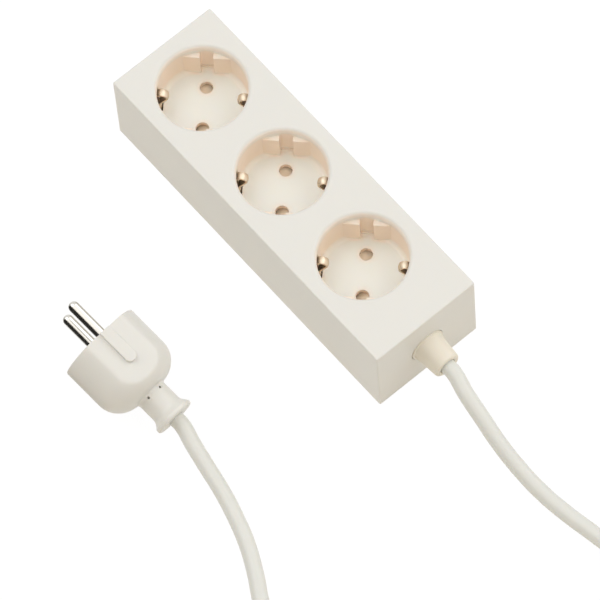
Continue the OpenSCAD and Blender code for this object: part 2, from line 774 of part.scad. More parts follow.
module plug_core() {
  color("#d9d4c8") at_plug() difference() {
    along_x() cylinder(core_t, core_face_r, core_face_r);
    for (z = [-1, 1]) translate([0, 0, z * pin_in]) along_x(-bite)
      cylinder(core_t + 2 * bite, tail_r + fit_gap, tail_r + fit_gap);
    translate([0, -earth_at, 0]) {
      along_x(-bite) cylinder(core_t + 2 * bite, earth_bore_r, earth_bore_r);
      along_x(earth_front - fit_gap) cylinder(core_t, earth_tube_r + fit_gap, earth_tube_r + fit_gap);
    }
  }
}
module plug_pin(z) {
  color("#c6c7c9") at_plug() translate([0, 0, z * pin_in]) {
    along_x(pin_d / 2 - pin_l) cylinder(pin_l - pin_d / 2, pin_d / 2, pin_d / 2);
    along_x(-bite) cylinder(pin_tail + bite, tail_r, tail_r);
    translate([pin_d / 2 - pin_l, 0, 0]) sphere(pin_d / 2);
  }
}
module plug_pin_line() { plug_pin(1); }
module plug_pin_neutral() { plug_pin(-1); }
module plug_earth_strap() {
  color("#cfae66") at_plug() difference() {
    union() {
      translate([0, -earth_at, 0]) along_x(earth_front)
        cylinder(strap_back - earth_front, earth_tube_r, earth_tube_r);
      translate([core_t + fit_gap, -strap_far, -strap_w / 2])
        cube([strip_t - fit_gap, strap_far - strap_near, strap_w]);
    }
    translate([0, -earth_at, 0]) along_x(earth_front - bite)
      cylinder(strap_back - earth_front + 2 * bite, earth_bore_r, earth_bore_r);
  }
}
module plug_sleeve() {
  neck_r = neck_d / 2;
  flange_r = flange_d / 2;
  color("#e7e2d6") at_plug() along_x() rotate_extrude() difference() {
    union() {
      translate([0, chamber_l]) square([sleeve_root_r, plug_l - chamber_l + bite]);
      translate([0, plug_l]) square([neck_r, neck_l - flange_round]);
      polygon([
        [0, sleeve_x - flare_l], [neck_r, sleeve_x - flare_l], [flange_r, sleeve_x - 2 * flange_round],
        [flange_r, sleeve_x - flange_round], [flange_r - flange_round, sleeve_x], [0, sleeve_x]
      ]);
      translate([flange_r - flange_round, sleeve_x - flange_round]) circle(flange_round);
    }
    translate([0, chamber_l - bite]) square([cord_r + fit_gap, sleeve_x - chamber_l + 2 * bite]);
  }
}
module plug_sheath_end() {
  color("#e4e0d6") at_plug() along_x(chamber_l - plug_sheath_in)
    cylinder(sleeve_x - chamber_l + plug_sheath_in, cord_r, cord_r);
}
module plug_core_wire(from, to) {
  at_plug() tube(core_line(from, to, 6), 2 * core_r, 8);
}
module plug_line_wire() {
  color("#7a4a2c")
    plug_core_wire([plug_wire_x, 0, core_in], [pin_tail + fit_gap, 0, pin_in - plug_wire_in]);
}
module plug_neutral_wire() {
  color("#3f6fae")
    plug_core_wire([plug_wire_x, 0, -core_in], [pin_tail + fit_gap, 0, plug_wire_in - pin_in]);
}
module plug_earth_wire() {
  tail = strap_back + fit_gap;
  color("#8fae3a") plug_core_wire([plug_wire_x, -plug_earth_start, 0], [tail, -plug_earth_end, 0]);
}

top_case();
base_plate();
base_screws();
socket_insert_1();
socket_insert_2();
socket_insert_3();
shutter_1();
shutter_2();
shutter_3();
shutter_spring_1();
shutter_spring_2();
shutter_spring_3();
earth_clip_1();
earth_clip_2();
earth_clip_3();
earth_bar();
line_bar();
neutral_bar();
pivot_screws();
wire_crimps();
line_wire();
neutral_wire();
earth_wire();
cord_clamp();
clamp_screws();
cord_gland();
cord_sheath_end();
cord_strip_side();
cord_coil();
cord_ties();
cord_plug_side();
plug_body();
plug_core();
plug_pin_line();
plug_pin_neutral();
plug_earth_strap();
plug_sleeve();
plug_sheath_end();
plug_line_wire();
plug_neutral_wire();
plug_earth_wire();
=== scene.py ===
"""Dresses the three-way power strip: moulded finishes, contacts, cord, plug, floor, light and camera."""

import math

import bmesh
import bpy
from bpy.props import FloatProperty, FloatVectorProperty, PointerProperty
from mathutils import Matrix, Vector


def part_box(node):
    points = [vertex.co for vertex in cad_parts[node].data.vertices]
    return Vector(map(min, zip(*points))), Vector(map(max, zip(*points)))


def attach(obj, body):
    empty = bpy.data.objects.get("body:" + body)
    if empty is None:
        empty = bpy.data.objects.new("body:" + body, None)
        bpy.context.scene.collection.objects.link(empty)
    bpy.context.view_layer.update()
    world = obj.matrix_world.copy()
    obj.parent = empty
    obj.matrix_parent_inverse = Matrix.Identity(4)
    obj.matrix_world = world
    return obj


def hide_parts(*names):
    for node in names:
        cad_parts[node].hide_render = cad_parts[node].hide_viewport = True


bl_info = {
    "name": "Power Strip",
    "version": (1, 0, 0),
    "blender": (4, 5, 0),
    "location": "3D View > Sidebar > Power Strip",
    "description": "Finishes, fine pieces, cord, plug and studio for a three-way power strip",
    "category": "Object",
}

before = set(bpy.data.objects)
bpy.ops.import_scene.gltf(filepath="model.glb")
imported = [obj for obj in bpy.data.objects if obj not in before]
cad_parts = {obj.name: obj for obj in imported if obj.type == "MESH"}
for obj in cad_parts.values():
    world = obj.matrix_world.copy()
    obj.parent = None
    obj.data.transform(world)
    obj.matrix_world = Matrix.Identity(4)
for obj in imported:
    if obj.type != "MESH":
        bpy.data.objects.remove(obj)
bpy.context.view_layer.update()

MM = 0.001
WELL_BOXES = [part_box(f"socket_insert_{i}") for i in (1, 2, 3)]
SOCKETS = [(low.x + high.x) / 2 / MM for low, high in WELL_BOXES]
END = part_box("top_case")[1].x / MM


def linear(code):
    """Linear red, green and blue of an sRGB hex value."""
    parts = [int(code[i:i + 2], 16) / 255 for i in (1, 3, 5)]
    return [c / 12.92 if c <= 0.04045 else ((c + 0.055) / 1.055) ** 2.4 for c in parts]


def colour(name, description, code):
    """A colour property with an sRGB hex default."""
    return FloatVectorProperty(name=name, description=description, subtype="COLOR", size=3,
                               min=0, max=1, default=linear(code))


def length(name, description, millimetres):
    """A length property with a default in millimetres."""
    return FloatProperty(name=name, description=description, unit="LENGTH", default=millimetres * MM)


class StripColours(bpy.types.PropertyGroup):
    """Colours of the strip, its cord and its plug."""
    case: colour("Case", "Matt off-white of the case", "#E9E9E5")
    # Painted light: a warmer, lighter tint painted on the case's lips round the wells.
    lip_painted_light: colour("Lips painted light", "Warm white of the case's lips round the wells", "#FFF6EC")
    insert: colour("Wells", "Off-white of the socket wells' floors", "#F3F8F4")
    # Painted shade: the peach tint painted on the upright faces in the wells, for the warm light that
    # bounces between them.
    wall_painted_shade: colour("Well walls painted shade", "Peach of the upright faces in the wells", "#FBE8D6")
    plug: colour("Plug", "Off-white of the plug and its sleeve", "#E8E8E4")
    cord: colour("Cord", "Off-white of the cord", "#E4E6E2")
    collar: colour("Collar", "Off-white of the cord collar", "#EEE9DC")
    inner: colour("Inner plastic", "Pale grey of the clamp and the plug core", "#D9D4C8")
    shutter: colour("Shutters", "Warm off-white of the shutters", "#FDEDD6")
    clip: colour("Earth clips", "Yellowish plated brass of the earth clips", "#DDCFBA")
    brass: colour("Rails", "Rolled brass of the rails and crimps", "#D2B06A")
    nickel: colour("Pins", "Nickel plating of the plug pins", "#DAD7D0")
    zinc: colour("Screws", "Zinc plating of the screws", "#BFC1C3")
    steel: colour("Springs", "Drawn steel of the shutter springs", "#B5B5B2")
    tie: colour("Ties", "Pale grey of the cord ties", "#D5D2CA")


class StripSizes(bpy.types.PropertyGroup):
    """Sizes of the fine pieces."""
    cord: length("Cord", "Diameter of the cord", 7)
    cord_length: length("Cord length", "Length of the cord from the collar to the plug", 1500)
    nose: length("Clip nose", "Radius of the bends at the nose and crest of an earth clip", 2.0)
    crown: length("Clip crown", "Height of the crown across an earth clip", 0.35)
    pit: length("Neck pit", "Diameter of the small pits at the root of the plug's neck", 1.25)
    lens: FloatProperty(name="Lens", description="Focal length of the camera in millimetres",
                        default=417.97)


# Shapes are drawn in millimetres: X along the strip towards the cord, Y across it, Z up.

# The higher, the sharper the edge between the plug's flats and its round sides.
FLAT_SHARPNESS = 70
# Largest share of a side that the rounding of one corner may take.
CORNER_SHARE = 0.49


def soften(corners, radius, steps=6, closed=False):
    """Rounds the corners of a line of points; radius is one number, or one for each point."""
    line, count = [], len(corners)
    for i, corner in enumerate(corners):
        r = radius[i] if hasattr(radius, "__len__") else radius
        if r == 0 or (not closed and i in (0, count - 1)):
            line.append(Vector(corner))
            continue
        p = Vector(corner)
        a, b = Vector(corners[i - 1]) - p, Vector(corners[(i + 1) % count]) - p
        room = CORNER_SHARE * min(a.length, b.length)
        a.normalize()
        b.normalize()
        half = a.angle(b) / 2
        reach = min(r / math.tan(half), room)
        r = reach * math.tan(half)
        middle = p + (a + b).normalized() * r / math.sin(half)
        start, end = p + a * reach - middle, p + b * reach - middle
        turn = start.angle(end)
        for k in range(steps + 1):
            t = k / steps
            spoke = start * math.sin((1 - t) * turn) + end * math.sin(t * turn)
            line.append(middle + spoke / math.sin(turn))
    return line


def arc(middle, radius, start, end, steps):
    """Points of an arc from one angle to another, in degrees, about a middle."""
    turns = [math.radians(start + (end - start) * k / steps) for k in range(steps + 1)]
    return [(middle[0] + radius * math.cos(a), middle[1] + radius * math.sin(a)) for a in turns]


def bands(rows, around, closed=False, skipped=()):
    """Faces between rows of points, but for the skipped ones; an open shape gets a cap at each end."""
    faces = []
    for i in range(rows if closed else rows - 1):
        low, high = i * around, (i + 1) % rows * around
        for k in range(around):
            m = (k + 1) % around
            if (i, k) not in skipped:
                faces.append((low + k, low + m, high + m, high + k))
    if not closed:
        faces.append(tuple(range(around)))
        faces.append(tuple(range((rows - 1) * around, rows * around)))
    return faces


# Corners in order round a block of three rows and columns, as (row, column).
BLOCK = [(0, 0), (0, 1), (0, 2), (0, 3), (1, 3), (2, 3), (3, 3), (3, 2), (3, 1), (3, 0), (2, 0), (1, 0)]
# Depth of a pit's broken edge, and how much narrower the pit gets at each step.
PIT_BREAK, PIT_TAPER = 0.06, 0.08


def turned(profile, segments, closed=False, flat=None, pits=()):
    """Points and faces of a profile of (place along X, radius) turned about X.

    Flat is the distance of two softly edged flats above and below the axis. A pit is
    (first row, first column, diameter, depth): a round blind hole set upright into three
    rows and columns."""
    turns = [2 * math.pi * k / segments for k in range(segments)]
    points = []
    for x, r in profile:
        for a in turns:
            out = r
            if flat and r > 0:
                level = (abs(math.cos(a)) / flat) ** FLAT_SHARPNESS
                out = (r ** -FLAT_SHARPNESS + level) ** (-1 / FLAT_SHARPNESS)
            points.append((x, out * math.sin(a), out * math.cos(a)))
    skipped, faces = set(), []
    for row, column, diameter, depth in pits:
        skipped |= {(row + i, (column + k) % segments) for i in range(3) for k in range(3)}
        edge = [(row + i) * segments + (column + k) % segments for i, k in BLOCK]
        middle = sum((Vector(points[i]) for i in edge), Vector()) / len(edge)
        out = Vector((0, middle.y, middle.z)).normalized()
        upright = Vector((0, 0, math.copysign(1, middle.z)))
        side = out.cross(Vector((1, 0, 0)))
        base, count = len(points), len(edge)
        rings = ((0 * out, diameter), (PIT_BREAK * out, diameter - PIT_TAPER),
                 (depth * upright, diameter - 2 * PIT_TAPER))
        for down, wide in rings:
            for i in edge:
                way = Vector(points[i]) - middle
                across = Vector((way.x, way.dot(side))).normalized() * wide / 2
                points.append(tuple(middle + Vector((across.x, 0, 0)) + side * across.y - down))
        deep = base + 2 * count
        for k in range(count):
            m = (k + 1) % count
            faces.append((edge[k], edge[m], base + m, base + k))
            faces.append((base + k, base + m, base + count + m, base + count + k))
            faces.append((base + count + k, base + count + m, deep + m, deep + k))
        faces.append(tuple(deep + k for k in range(count)))
    return points, faces + bands(len(profile), segments, closed, skipped)


def raised(outline, low, high, rounding, steps=4):
    """Points and faces of a plan outline raised from low to high, with a rounded upper edge."""
    count = len(outline)
    out = []
    for i in range(count):
        way = (outline[(i + 1) % count] - outline[i - 1]).normalized()
        out.append(Vector((way.y, -way.x)))
    edge = arc((rounding, high - rounding), rounding, 180, 90, steps)
    rings = [(low, 0)] + [(z, inset) for inset, z in edge]
    points = [(p.x - n.x * inset, p.y - n.y * inset, z)
              for z, inset in rings for p, n in zip(outline, out)]
    return points, bands(len(rings), count)


# One side of a strip with broken corners, in shares of half its width and of its thickness.
STRIP_SIDE = [(-1, -0.35), (-0.97, -0.5), (-0.6, -0.5), (-0.2, -0.5),
              (0.2, -0.5), (0.6, -0.5), (0.97, -0.5), (1, -0.35)]


def bent_strip(line, thickness, width, crown=0.0, closed=False):
    """Points and faces of a strip bent along a line of (across, up), its width along Y and crowned."""
    count = len(line)
    last = count - 1
    section = STRIP_SIDE + [(y, -t) for y, t in reversed(STRIP_SIDE)]
    points = []
    for i, p in enumerate(line):
        ahead = line[(i + 1) % count] if closed else line[min(i + 1, last)]
        behind = line[i - 1] if closed else line[max(i - 1, 0)]
        way = (ahead - behind).normalized()
        side = Vector((-way.y, way.x))
        for y, t in section:
            at = p + side * (t * thickness - crown * y * y)
            points.append((at.x, y * width / 2, at.y))
    return points, bands(count, len(section), closed)


# A screw's recess: its width at the floor and under its edge, depth of that edge, breadth of an arm.
RECESS_FLOOR, RECESS_MOUTH, RECESS_EDGE, ARM_BREADTH = 0.55, 0.94, 0.05, 0.3
# Broken edge of a screw's head, and the length and share of radius of its tip.
HEAD_BREAK, TIP_LENGTH, TIP_SHARE = 0.25, 1, 0.3
SCREW_SEGMENTS = 48


def cross_screw(head_radius, head, shank_radius, shank, arm, deep):
    """Points and faces of a flat-headed screw that points up from its head, its cross recess below."""
    turns = [2 * math.pi * k / SCREW_SEGMENTS for k in range(SCREW_SEGMENTS)]
    cross = []
    for a in turns:
        off = (a + math.pi / 4) % (math.pi / 2) - math.pi / 4
        cross.append(min(arm / math.cos(off), arm * ARM_BREADTH / max(abs(math.sin(off)), 1e-6)))
    circle = [1.0] * SCREW_SEGMENTS
    rings = [(deep, RECESS_FLOOR, cross), (RECESS_EDGE, RECESS_MOUTH, cross), (0, 1, cross),
             (0, head_radius - HEAD_BREAK, circle), (HEAD_BREAK, head_radius, circle),
             (head, head_radius, circle), (head, shank_radius, circle),
             (head + shank - TIP_LENGTH, shank_radius, circle),
             (head + shank, shank_radius * TIP_SHARE, circle)]
    points = [(scale * reach[k] * math.cos(a), scale * reach[k] * math.sin(a), z)
              for z, scale, reach in rings for k, a in enumerate(turns)]
    return points, bands(len(rings), SCREW_SEGMENTS)


def joined(*shapes):
    """Several shapes as one list of points and one of faces."""
    points, faces = [], []
    for some_points, some_faces in shapes:
        faces += [tuple(i + len(points) for i in face) for face in some_faces]
        points += list(some_points)
    return points, faces


def placed(shape, matrix):
    """A shape moved by a matrix."""
    return [tuple(matrix @ Vector(p)) for p in shape[0]], shape[1]


def piece(name, shape, material, nodes=(), body="strip", sharp=40):
    """Adds a piece drawn in millimetres, smooth but for edges over the sharp angle, on its body."""
    mesh = bpy.data.meshes.new(name)
    mesh.from_pydata([tuple(Vector(p) * MM) for p in shape[0]], [], shape[1])
    work = bmesh.new()
    work.from_mesh(mesh)
    bmesh.ops.recalc_face_normals(work, faces=work.faces)
    work.to_mesh(mesh)
    work.free()
    mesh.polygons.foreach_set("use_smooth", [True] * len(mesh.polygons))
    mesh.set_sharp_from_angle(angle=math.radians(sharp))
    mesh.materials.append(material)
    made = bpy.data.objects.new(name, mesh)
    bpy.context.scene.collection.objects.link(made)
    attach(made, body)
    if nodes:
        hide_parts(*nodes)
    return made


def dress(material, *names):
    """Gives a material to CAD nodes."""
    for name in names:
        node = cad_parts[name]
        while len(node.material_slots) < 1:
            node.data.materials.append(None)
        for held in node.material_slots:
            held.link = "OBJECT"
            held.material = material


def add(tree, kind, inputs=None, **settings):
    """Adds a node; inputs are values or sockets to link, by name or number."""
    node = tree.nodes.new(kind)
    for key, value in settings.items():
        setattr(node, key, value)
    for key, value in (inputs or {}).items():
        if isinstance(value, bpy.types.NodeSocket):
            tree.links.new(value, node.inputs[key])
        else:
            node.inputs[key].default_value = value
    return node


def blank(name):
    """A new material with an empty node tree, and that tree."""
    made = bpy.data.materials.new(name)
    made.use_nodes = True
    made.node_tree.nodes.clear()
    return made, made.node_tree


def tints():
    """The colours that the panel lists."""
    return bpy.context.scene.strip_colours


# Width in millimetres of the faint clouds in a plastic, and of the stains on a metal.
CLOUD, STAIN = 22, 5
# Shares of the tint that a plastic's dull and warm clouds keep, and a metal's stains.
CLOUD_DULL, CLOUD_WARM, STAIN_DULL = 0.985, (1.01, 1.008, 1.0), 0.93
# Values of a noise that stand for the lowest and the highest gloss.
NOISE_LOW, NOISE_HIGH = 0.3, 0.7
# How far a plastic's roughness wanders up and down, and the shares of a metal's.
GLOSS_PLAY, GLOSS_LOW, GLOSS_HIGH = 0.05, 0.8, 1.25
# How strongly the tool's marks show on a plastic and on a metal.
PLASTIC_BUMP, METAL_BUMP = 0.5, 0.4
# How far red, green and blue light wander in a plastic, as shares of its reach.
WANDER = (1.0, 0.75, 0.5)
# How far the painted shade of an upright face, a peach tint for light bouncing between walls, spreads
# round a corner, in millimetres, and the upward part of the normal at which it is full.
PAINTED_SHADE_REACH, PAINTED_SHADE_FULL = 5.0, 0.45
# Radii in millimetres between which the painted light on a lip, a warmer and lighter tint, fades.
PAINTED_LIP_INNER, PAINTED_LIP_OUTER = 19.1, 19.9


def moulded(name, tint, roughness, grain, relief, ior, glow=0.0, reach=1.0,
            upright=None, edge=0.0, lip_painted_light=None):
    """A moulded or extruded plastic: a soft sheen broken by its tool's grain, and faint cloudiness.

    Grain is the width of the tool's marks and relief their depth, in millimetres. Real marks are too
    fine to show at this size, so they are drawn as coarse as they need to be. Glow is how much light
    wanders inside the plastic, and reach how far. Upright is the painted shade of upright faces: a tint
    painted on them and a little way round their corners, for the light that bounces between the walls.
    Edge is how far a hard edge looks rounded. The lip tint is painted light: a warmer tint painted on
    the lips round the wells, for the light from the wells that warms them."""
    if name in bpy.data.materials:
        return bpy.data.materials[name]
    made, tree = blank(name)
    where = add(tree, "ShaderNodeTexCoord").outputs["Object"]
    cloud = add(tree, "ShaderNodeTexNoise", {"Vector": where, "Scale": 1 / (CLOUD * MM), "Detail": 2.0})
    marks = add(tree, "ShaderNodeTexNoise", {
        "Vector": where, "Scale": 1 / (grain * MM), "Detail": 3.0, "Roughness": 0.6})
    dull = [c * CLOUD_DULL for c in tint]
    warm = [min(1.0, c * s) for c, s in zip(tint, CLOUD_WARM)]
    shade = add(tree, "ShaderNodeMix", {0: cloud.outputs["Fac"], 6: (*dull, 1), 7: (*warm, 1)},
                data_type="RGBA")
    # Painted shade: upright faces, and the floor a little way round their corners, take the peach tint.
    if upright:
        turn = add(tree, "ShaderNodeBevel", {"Radius": PAINTED_SHADE_REACH * MM}, samples=8)
        painted_shade_normal = add(tree, "ShaderNodeSeparateXYZ", {0: turn.outputs["Normal"]})
        level = add(tree, "ShaderNodeMapRange", {
            "Value": painted_shade_normal.outputs["Z"], "From Min": PAINTED_SHADE_FULL, "From Max": 1.0})
        shade = add(tree, "ShaderNodeMix", {
            0: level.outputs["Result"], 6: (*upright, 1), 7: shade.outputs[2]}, data_type="RGBA")
    # Painted light: the lips round the wells take a warmer, lighter tint that fades outwards.
    if lip_painted_light:
        plan = add(tree, "ShaderNodeVectorMath", {0: where, 1: (1, 1, 0)}, operation="MULTIPLY")
        near = PAINTED_LIP_OUTER * MM
        for x in SOCKETS:
            away = add(tree, "ShaderNodeVectorMath", {0: plan.outputs[0], 1: (x * MM, 0, 0)},
                       operation="DISTANCE")
            near = add(tree, "ShaderNodeMath", {0: near, 1: away.outputs["Value"]},
                       operation="MINIMUM").outputs[0]
        painted_lip_fade = add(tree, "ShaderNodeMapRange", {
            "Value": near, "From Min": PAINTED_LIP_INNER * MM, "From Max": PAINTED_LIP_OUTER * MM})
        shade = add(tree, "ShaderNodeMix", {
            0: painted_lip_fade.outputs["Result"], 6: (*lip_painted_light, 1), 7: shade.outputs[2]}, data_type="RGBA")
    gloss = add(tree, "ShaderNodeMapRange", {
        "Value": marks.outputs["Fac"], "From Min": NOISE_LOW, "From Max": NOISE_HIGH,
        "To Min": roughness - GLOSS_PLAY, "To Max": roughness + GLOSS_PLAY})
    rough = add(tree, "ShaderNodeBump", {
        "Height": marks.outputs["Fac"], "Strength": PLASTIC_BUMP, "Distance": relief * MM})
    if edge:
        rounded = add(tree, "ShaderNodeBevel", {"Radius": edge * MM}, samples=6)
        tree.links.new(rounded.outputs["Normal"], rough.inputs["Normal"])
    skin = add(tree, "ShaderNodeBsdfPrincipled", {
        "Base Color": shade.outputs[2], "Roughness": gloss.outputs["Result"],
        "Normal": rough.outputs["Normal"], "IOR": ior, "Subsurface Weight": glow,
        "Subsurface Radius": WANDER, "Subsurface Scale": reach * MM})
    add(tree, "ShaderNodeOutputMaterial", {"Surface": skin.outputs["BSDF"]})
    return made


def plated(name, tint, roughness, marks_long, marks_wide, relief):
    """A drawn, rolled or plated metal: reflections drawn out by fine marks along X, and faint stains.

    The marks' length, width and depth are in millimetres, and coarser than real ones, which are too
    fine to show at this size."""
    if name in bpy.data.materials:
        return bpy.data.materials[name]
    made, tree = blank(name)
    where = add(tree, "ShaderNodeTexCoord").outputs["Object"]
    run = add(tree, "ShaderNodeMapping", {"Vector": where, "Scale": (marks_wide / marks_long, 1, 1)})
    marks = add(tree, "ShaderNodeTexNoise", {
        "Vector": run.outputs["Vector"], "Scale": 1 / (marks_wide * MM), "Detail": 4.0})
    stain = add(tree, "ShaderNodeTexNoise", {"Vector": where, "Scale": 1 / (STAIN * MM), "Detail": 3.0})
    dull = [c * STAIN_DULL for c in tint]
    shade = add(tree, "ShaderNodeMix", {0: stain.outputs["Fac"], 6: (*dull, 1), 7: (*tint, 1)},
                data_type="RGBA")
    gloss = add(tree, "ShaderNodeMapRange", {
        "Value": marks.outputs["Fac"], "From Min": NOISE_LOW, "From Max": NOISE_HIGH,
        "To Min": roughness * GLOSS_LOW, "To Max": roughness * GLOSS_HIGH})
    rough = add(tree, "ShaderNodeBump", {
        "Height": marks.outputs["Fac"], "Strength": METAL_BUMP, "Distance": relief * MM})
    skin = add(tree, "ShaderNodeBsdfPrincipled", {
        "Base Color": shade.outputs[2], "Metallic": 1.0, "Roughness": gloss.outputs["Result"],
        "Normal": rough.outputs["Normal"]})
    add(tree, "ShaderNodeOutputMaterial", {"Surface": skin.outputs["BSDF"]})
    return made


# Spark-eroded ABS: matt and even, with a breath of sheen, and painted light on the lips round the wells.
def abs_case():
    return moulded("ABS moulded matt painted lip light", tints().case, roughness=0.5, grain=0.35, relief=0.012,
                   ior=1.54, glow=0.12, reach=1.2, lip_painted_light=tints().lip_painted_light)


# Polished-tool polyamide: off-white floors, a painted shade of peach on the walls, and light wanders into
# it.
def polyamide_well():
    return moulded("Polyamide moulded satin painted shade", tints().insert, roughness=0.42, grain=0.4, relief=0.008,
                   ior=1.53, glow=0.2, reach=2.0, upright=tints().wall_painted_shade, edge=0.3)


# Soft PVC over the plug: satin, slightly waxy.
def pvc_plug():
    return moulded("PVC overmoulded satin", tints().plug, roughness=0.44, grain=0.5, relief=0.01,
                   ior=1.53, glow=0.15, reach=1.6)


# Extruded PVC: a long smooth jacket with a soft sheen.
def pvc_cord():
    return moulded("PVC extruded jacket", tints().cord, roughness=0.42, grain=0.8, relief=0.01,
                   ior=1.53, glow=0.15, reach=1.6)


# Soft PVC of the collar: satin, and yellower than the cord.
def pvc_collar():
    return moulded("PVC moulded collar", tints().collar, roughness=0.45, grain=0.5, relief=0.01,
                   ior=1.53, glow=0.15, reach=1.6)


# Extruded PVC of the cores: one strong colour each, with a soft sheen.
def pvc_core(shade, code):
    return moulded(f"PVC extruded {shade}", linear(code), roughness=0.4, grain=0.5, relief=0.01, ior=1.53)


# Glass-filled polyamide inside: pale and dull.
def polyamide_inner():
    return moulded("Polyamide moulded dull", tints().inner, roughness=0.6, grain=0.5, relief=0.02, ior=1.53)


# Acetal shutters: warm and satin.
def acetal_shutter():
    return moulded("Acetal moulded satin", tints().shutter, roughness=0.4, grain=0.4, relief=0.006,
                   ior=1.48, glow=0.15, reach=1.5)


# Woven nylon with a soft loop pile: dull and fuzzy.
def nylon_tie():
    return moulded("Nylon woven loop pile", tints().tie, roughness=0.8, grain=0.5, relief=0.12, ior=1.53)


# Tin-plated spring brass: pale and dull, with a yellow cast.
def brass_clip():
    return plated("Spring brass tin plated", tints().clip, roughness=0.5,
                  marks_long=3.0, marks_wide=0.3, relief=0.002)


# Rolled brass strip: yellow, drawn out along the rail.
def brass_rail():
    return plated("Brass rolled", tints().brass, roughness=0.26,
                  marks_long=6.0, marks_wide=0.25, relief=0.004)


# Turned brass pins with nickel plating: clear reflections.
def nickel_pin():
    return plated("Brass turned and nickel plated", tints().nickel, roughness=0.18,
                  marks_long=4.0, marks_wide=0.3, relief=0.002)


# Zinc-plated steel screws: bluish and slightly dull.
def zinc_screw():
    return plated("Steel zinc plated", tints().zinc, roughness=0.32,
                  marks_long=0.6, marks_wide=0.3, relief=0.004)


# Drawn spring steel wire: grey, and bright along its length.
def spring_wire():
    return plated("Spring steel drawn", tints().steel, roughness=0.25,
                  marks_long=2.0, marks_wide=0.2, relief=0.002)


# Route of the cord in millimetres: from the collar to the coil, round the coil, and on to the plug.
STRIP_ROUTE = [
    (97.2, 0, 21.1), (100.7, 0, 21.1), (110.1, -1.9, 19.4), (122, -3.2, 15.9), (134, -4.2, 11.5),
    (145.9, -4.2, 7.3), (158.8, -3.5, 4.4), (172.7, -1.8, 3.5), (187.7, 0.8, 3.5), (202.7, 3, 3.5),
    (217.7, 3.4, 3.5), (231.7, 0.6, 3.5), (244.7, -6.6, 3.5), (255.2, -18.6, 3.6), (261.7, -33.6, 3.8),
    (264.7, -50.6, 4.1), (265.1, -67.6, 4.4)]
PLUG_ROUTE = [
    (195.7, -139.6, 10.8), (180.7, -139.2, 7.8), (165.7, -137, 5.2), (150.7, -133, 3.9),
    (135.7, -127.4, 3.5), (120.7, -120.8, 3.5), (108.7, -114, 3.5), (96.7, -108.3, 3.5),
    (84.7, -104.3, 3.8), (72.7, -101.3, 4.7), (60.7, -99.3, 6.1), (49.7, -97.5, 8)]
CORD_RADIUS = 3.5
COIL_MIDDLE, COIL_RADIUS, COIL_STEP, COIL_TURNS = (217.7, -91.6), 31.5, 7.5, 4.25
COIL_LOW, COIL_HIGH = 4.5, 12.0
# Points in each turn of the coil, and the share of a turn in which it climbs to its upper layer.
TURN_POINTS, CLIMB = 24, 0.5
TIE_ANGLES, TIE_WIDTH, TIE_THICKNESS, TIE_PLAY = (55, 190), 6.0, 0.6, 0.4
# How far a tie's free end starts from the coil's inner side, and stops above the end of its bend.
TIE_START, TIE_STOP = 2, 1

# The collar: radii of its flange, ring, taper, end and bore; thickness of the flange; how far the
# ring stands out of the case; widening and depth of the mouth; and rounding of each corner in turn.
COLLAR_RADII = (9.2, 8.0, 7.2, 6.1, 3.6)
COLLAR_FLANGE, COLLAR_RING, COLLAR_MOUTH, COLLAR_MOUTH_DEPTH = 2, 0.4, 0.3, 1
COLLAR_EDGES = [0, 0.3, 0.3, 0, 0.15, 0.2, 1.3, 0.5, 0]

# The plug lies on the rear end of its lower key; X runs from its pin face to its cord.
PLUG_ORIGIN = (-5.9, -100.2, 21.37)
PLUG_TURN = (-2, 13.5, 5.3)
PLUG_RADIUS, PLUG_FLAT, PLUG_EDGE, PLUG_END = 18.6, 15.9, 0.5, 44.8
# Places of the rows along the body's round side.
SIDE_ROWS = (5, 10, 15)
DOME_X, DOME_RADIUS = 18.8, 11.1
NECK_RADIUS, NECK_FILLET_X, NECK_FILLET = 7.0, 31.45, 1.6
# How far the dome's hidden end lies before the neck's fillet, and inside its radius.
DOME_BACK, DOME_LAP = 2.5, 1
# How far the neck starts inside the body, its extra radius there, and its play round the cord.
NECK_SINK, NECK_LIFT, NECK_PLAY = 2, 0.6, 0.2
# Where the flare starts and ends, the rounding of its start, its flange, and the edges of that.
FLARE_START, FLARE_END, FLARE_ROUND = 40.4, 43, 4.5
FLANGE_RADIUS, FLANGE_EDGE, BORE_EDGE = 9.1, 0.9, 0.5
# Rows behind the neck's fillet that hold the pits, the pits' first columns, and their depth.
PIT_ROWS, PIT_COLUMNS, PIT_DEPTH = (0.4, 0.9), (5, 39, 54, 86), 3.2
KEY_LENGTH, KEY_WIDTH, KEY_TOP, KEY_SINK, KEY_EDGE = 17.6, 5.0, 17.7, 0.5, 0.12
CORE_RADIUS, CORE_DEPTH, CORE_EDGE = 14.0, 8.9, 0.3
PIN_RADIUS, PIN_LENGTH, PIN_TAIL_RADIUS, PIN_TAIL, PIN_OUT = 2.4, 18.6, 2.0, 12.0, 9.5
# Points round each turned piece.
BODY_SEGMENTS, NECK_SEGMENTS, COLLAR_SEGMENTS, PIN_SEGMENTS = 240, 96, 96, 64

# A base screw: head and shank, each with its radius and length, and reach and depth of its recess.
SCREW_HEAD_RADIUS, SCREW_HEAD, SCREW_SHANK_RADIUS, SCREW_SHANK = 3.0, 1.1, 1.4, 12
SCREW_ARM, SCREW_RECESS = 1.8, 0.9

# What goes with the cord: pieces made here, and CAD nodes inside them.
CORD_PIECES = ("cord_collar", "plug_shell", "plug_neck", "pin_line", "pin_neutral")
CORD_INSIDES = ("cord_sheath_end", "plug_core", "plug_earth_strap", "plug_sheath_end",
                "plug_line_wire", "plug_neutral_wire", "plug_earth_wire")
# Colours of the cores inside the cord.
CORES = {"line": ("brown", "#6E4630"), "neutral": ("blue", "#3B6CB0"), "earth": ("green", "#7FA53A")}

